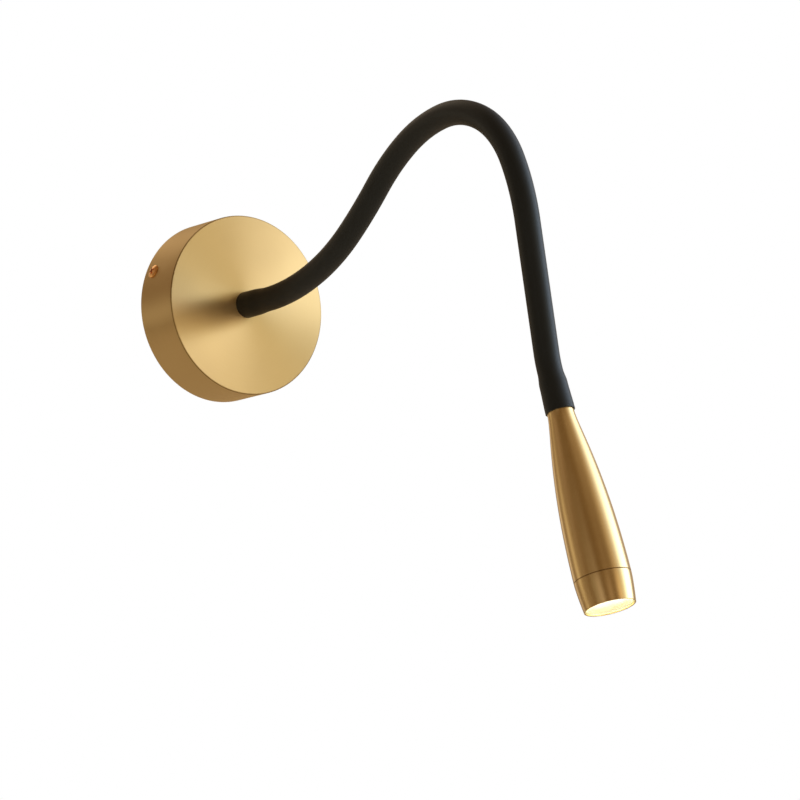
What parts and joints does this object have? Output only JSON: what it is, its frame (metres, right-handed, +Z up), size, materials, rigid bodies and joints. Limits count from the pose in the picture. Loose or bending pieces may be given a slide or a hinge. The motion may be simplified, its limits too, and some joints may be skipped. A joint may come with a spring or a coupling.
{
  "type": "flexible neck wall reading lamp",
  "caption": "Wall reading lamp: a round brass wall plate, a black sleeved gooseneck that stays where it is bent, and a slim turned brass head with a built-in LED behind a reflector and lens.",
  "frame": {"origin": "centre of the wall bracket's back face, in the plane of the wall", "axes": "the wall is the plane y = 0 and the lamp reaches out into the room towards -Y; +Z is up and +X is to the right for someone who faces the wall"},
  "size_m": [0.1, 0.3402, 0.2798],
  "materials": {
    "plate_brass": "satin, turned and lacquered",
    "head_brass": "satin brass plating over turned aluminium",
    "copper_screw": "copper-gold, polished",
    "zinc_steel": "zinc plated",
    "plain_brass": "bare",
    "core_steel": "bare",
    "sleeve_rubber": "matte black",
    "black_rubber": "matte black",
    "foam_pad": "adhesive foam",
    "nylon": "natural nylon",
    "driver_case": "white, matte",
    "wire_blue": "insulated wire",
    "lead_white": "insulated two-core lead",
    "bare_aluminium": "milled",
    "white_board": "white solder mask",
    "phosphor": "yellow phosphor in silicone",
    "metallised": "metallised, bright",
    "clear_glass": "clear"
  },
  "bodies": {
    "base": {"wall_bracket": "zinc_steel", "wall_plate": "plate_brass", "side_screws": "copper_screw", "base_fitting": "zinc_steel", "flat_washer": "zinc_steel", "toothed_washer": "zinc_steel", "fitting_nut": "plain_brass", "cord_grip": "nylon", "led_driver": "driver_case", "driver_pad": "foam_pad", "terminal_block": "nylon", "terminal_screws": "plain_brass", "earth_screw": "zinc_steel", "supply_wires": "wire_blue", "neck_lead_0": "lead_white", "neck_core_0": "core_steel", "neck_sleeve_0": "sleeve_rubber"},
    "neck_1": {"neck_lead_1": "lead_white", "neck_core_1": "core_steel", "neck_sleeve_1": "sleeve_rubber"},
    "neck_2": {"neck_lead_2": "lead_white", "neck_core_2": "core_steel", "neck_sleeve_2": "sleeve_rubber"},
    "neck_3": {"neck_lead_3": "lead_white", "neck_core_3": "core_steel", "neck_sleeve_3": "sleeve_rubber"},
    "neck_4": {"neck_lead_4": "lead_white", "neck_core_4": "core_steel", "neck_sleeve_4": "sleeve_rubber"},
    "neck_5": {"neck_lead_5": "lead_white", "neck_core_5": "core_steel", "neck_sleeve_5": "sleeve_rubber"},
    "neck_6": {"neck_lead_6": "lead_white", "neck_core_6": "core_steel", "neck_sleeve_6": "sleeve_rubber"},
    "neck_7": {"neck_lead_7": "lead_white", "neck_core_7": "core_steel", "neck_sleeve_7": "sleeve_rubber"},
    "neck_8": {"neck_lead_8": "lead_white", "neck_core_8": "core_steel", "neck_sleeve_8": "sleeve_rubber"},
    "neck_9": {"neck_lead_9": "lead_white", "neck_core_9": "core_steel", "neck_sleeve_9": "sleeve_rubber"},
    "neck_10": {"neck_lead_10": "lead_white", "neck_core_10": "core_steel", "neck_sleeve_10": "sleeve_rubber"},
    "head": {"neck_lead_11": "lead_white", "neck_core_11": "core_steel", "neck_sleeve_11": "sleeve_rubber", "head_fitting": "zinc_steel", "head_shell": "head_brass", "heat_sink": "bare_aluminium", "led_board": "white_board", "board_screws": "zinc_steel", "led_emitter": "phosphor", "reflector": "metallised", "lens_gasket": "black_rubber", "lens": "clear_glass", "bezel": "head_brass"}
  },
  "joints": [
    {"name": "bend_1", "type": "hinge", "parent": "base", "child": "neck_1", "pos_m": [0, -0.06736, 0.00099], "axis": [-1, 0, 0], "range_deg": [-20, 25], "deforming": ["neck_sleeve_0", "neck_sleeve_1", "neck_lead_0", "neck_lead_1"]},
    {"name": "swing_2", "type": "hinge", "parent": "neck_1", "child": "neck_2", "pos_m": [0, -0.10128, 0.0085], "axis": [0, 0.3173, 0.9483], "range_deg": [-20, 20], "deforming": ["neck_sleeve_1", "neck_sleeve_2", "neck_lead_1", "neck_lead_2"]},
    {"name": "bend_3", "type": "hinge", "parent": "neck_2", "child": "neck_3", "pos_m": [0, -0.13268, 0.02331], "axis": [-1, 0, 0], "range_deg": [-10, 25], "deforming": ["neck_sleeve_2", "neck_sleeve_3", "neck_lead_2", "neck_lead_3"]},
    {"name": "swing_4", "type": "hinge", "parent": "neck_3", "child": "neck_4", "pos_m": [0, -0.16117, 0.04327], "axis": [0, 0.6157, 0.788], "range_deg": [-20, 20], "deforming": ["neck_sleeve_3", "neck_sleeve_4", "neck_lead_3", "neck_lead_4"]},
    {"name": "bend_5", "type": "hinge", "parent": "neck_4", "child": "neck_5", "pos_m": [0, -0.19085, 0.06128], "axis": [-1, 0, 0], "range_deg": [-10, 25], "deforming": ["neck_sleeve_4", "neck_sleeve_5", "neck_lead_4", "neck_lead_5"]},
    {"name": "bend_6", "type": "hinge", "parent": "neck_5", "child": "neck_6", "pos_m": [0, -0.22434, 0.0701], "axis": [-1, 0, 0], "range_deg": [-5, 25], "deforming": ["neck_sleeve_5", "neck_sleeve_6", "neck_lead_5", "neck_lead_6"]},
    {"name": "bend_7", "type": "hinge", "parent": "neck_6", "child": "neck_7", "pos_m": [0, -0.25798, 0.06325], "axis": [-1, 0, 0], "range_deg": [-5, 25], "deforming": ["neck_sleeve_6", "neck_sleeve_7", "neck_lead_6", "neck_lead_7"]},
    {"name": "swing_8", "type": "hinge", "parent": "neck_7", "child": "neck_8", "pos_m": [0, -0.28091, 0.038], "axis": [0, -0.9239, 0.3827], "range_deg": [-20, 20], "deforming": ["neck_sleeve_7", "neck_sleeve_8", "neck_lead_7", "neck_lead_8"]},
    {"name": "bend_9", "type": "hinge", "parent": "neck_8", "child": "neck_9", "pos_m": [0, -0.28901, 0.0043], "axis": [-1, 0, 0], "range_deg": [-5, 25], "deforming": ["neck_sleeve_8", "neck_sleeve_9", "neck_lead_8", "neck_lead_9"]},
    {"name": "swing_10", "type": "hinge", "parent": "neck_9", "child": "neck_10", "pos_m": [0, -0.29174, -0.03039], "axis": [0, -0.9969, 0.0785], "range_deg": [-20, 20], "deforming": ["neck_sleeve_9", "neck_sleeve_10", "neck_lead_9", "neck_lead_10"]},
    {"name": "bend_11", "type": "hinge", "parent": "neck_10", "child": "head", "pos_m": [0, -0.29447, -0.06509], "axis": [-1, 0, 0], "range_deg": [-10, 25], "deforming": ["neck_sleeve_10", "neck_sleeve_11", "neck_lead_10", "neck_lead_11"]}
  ]
}
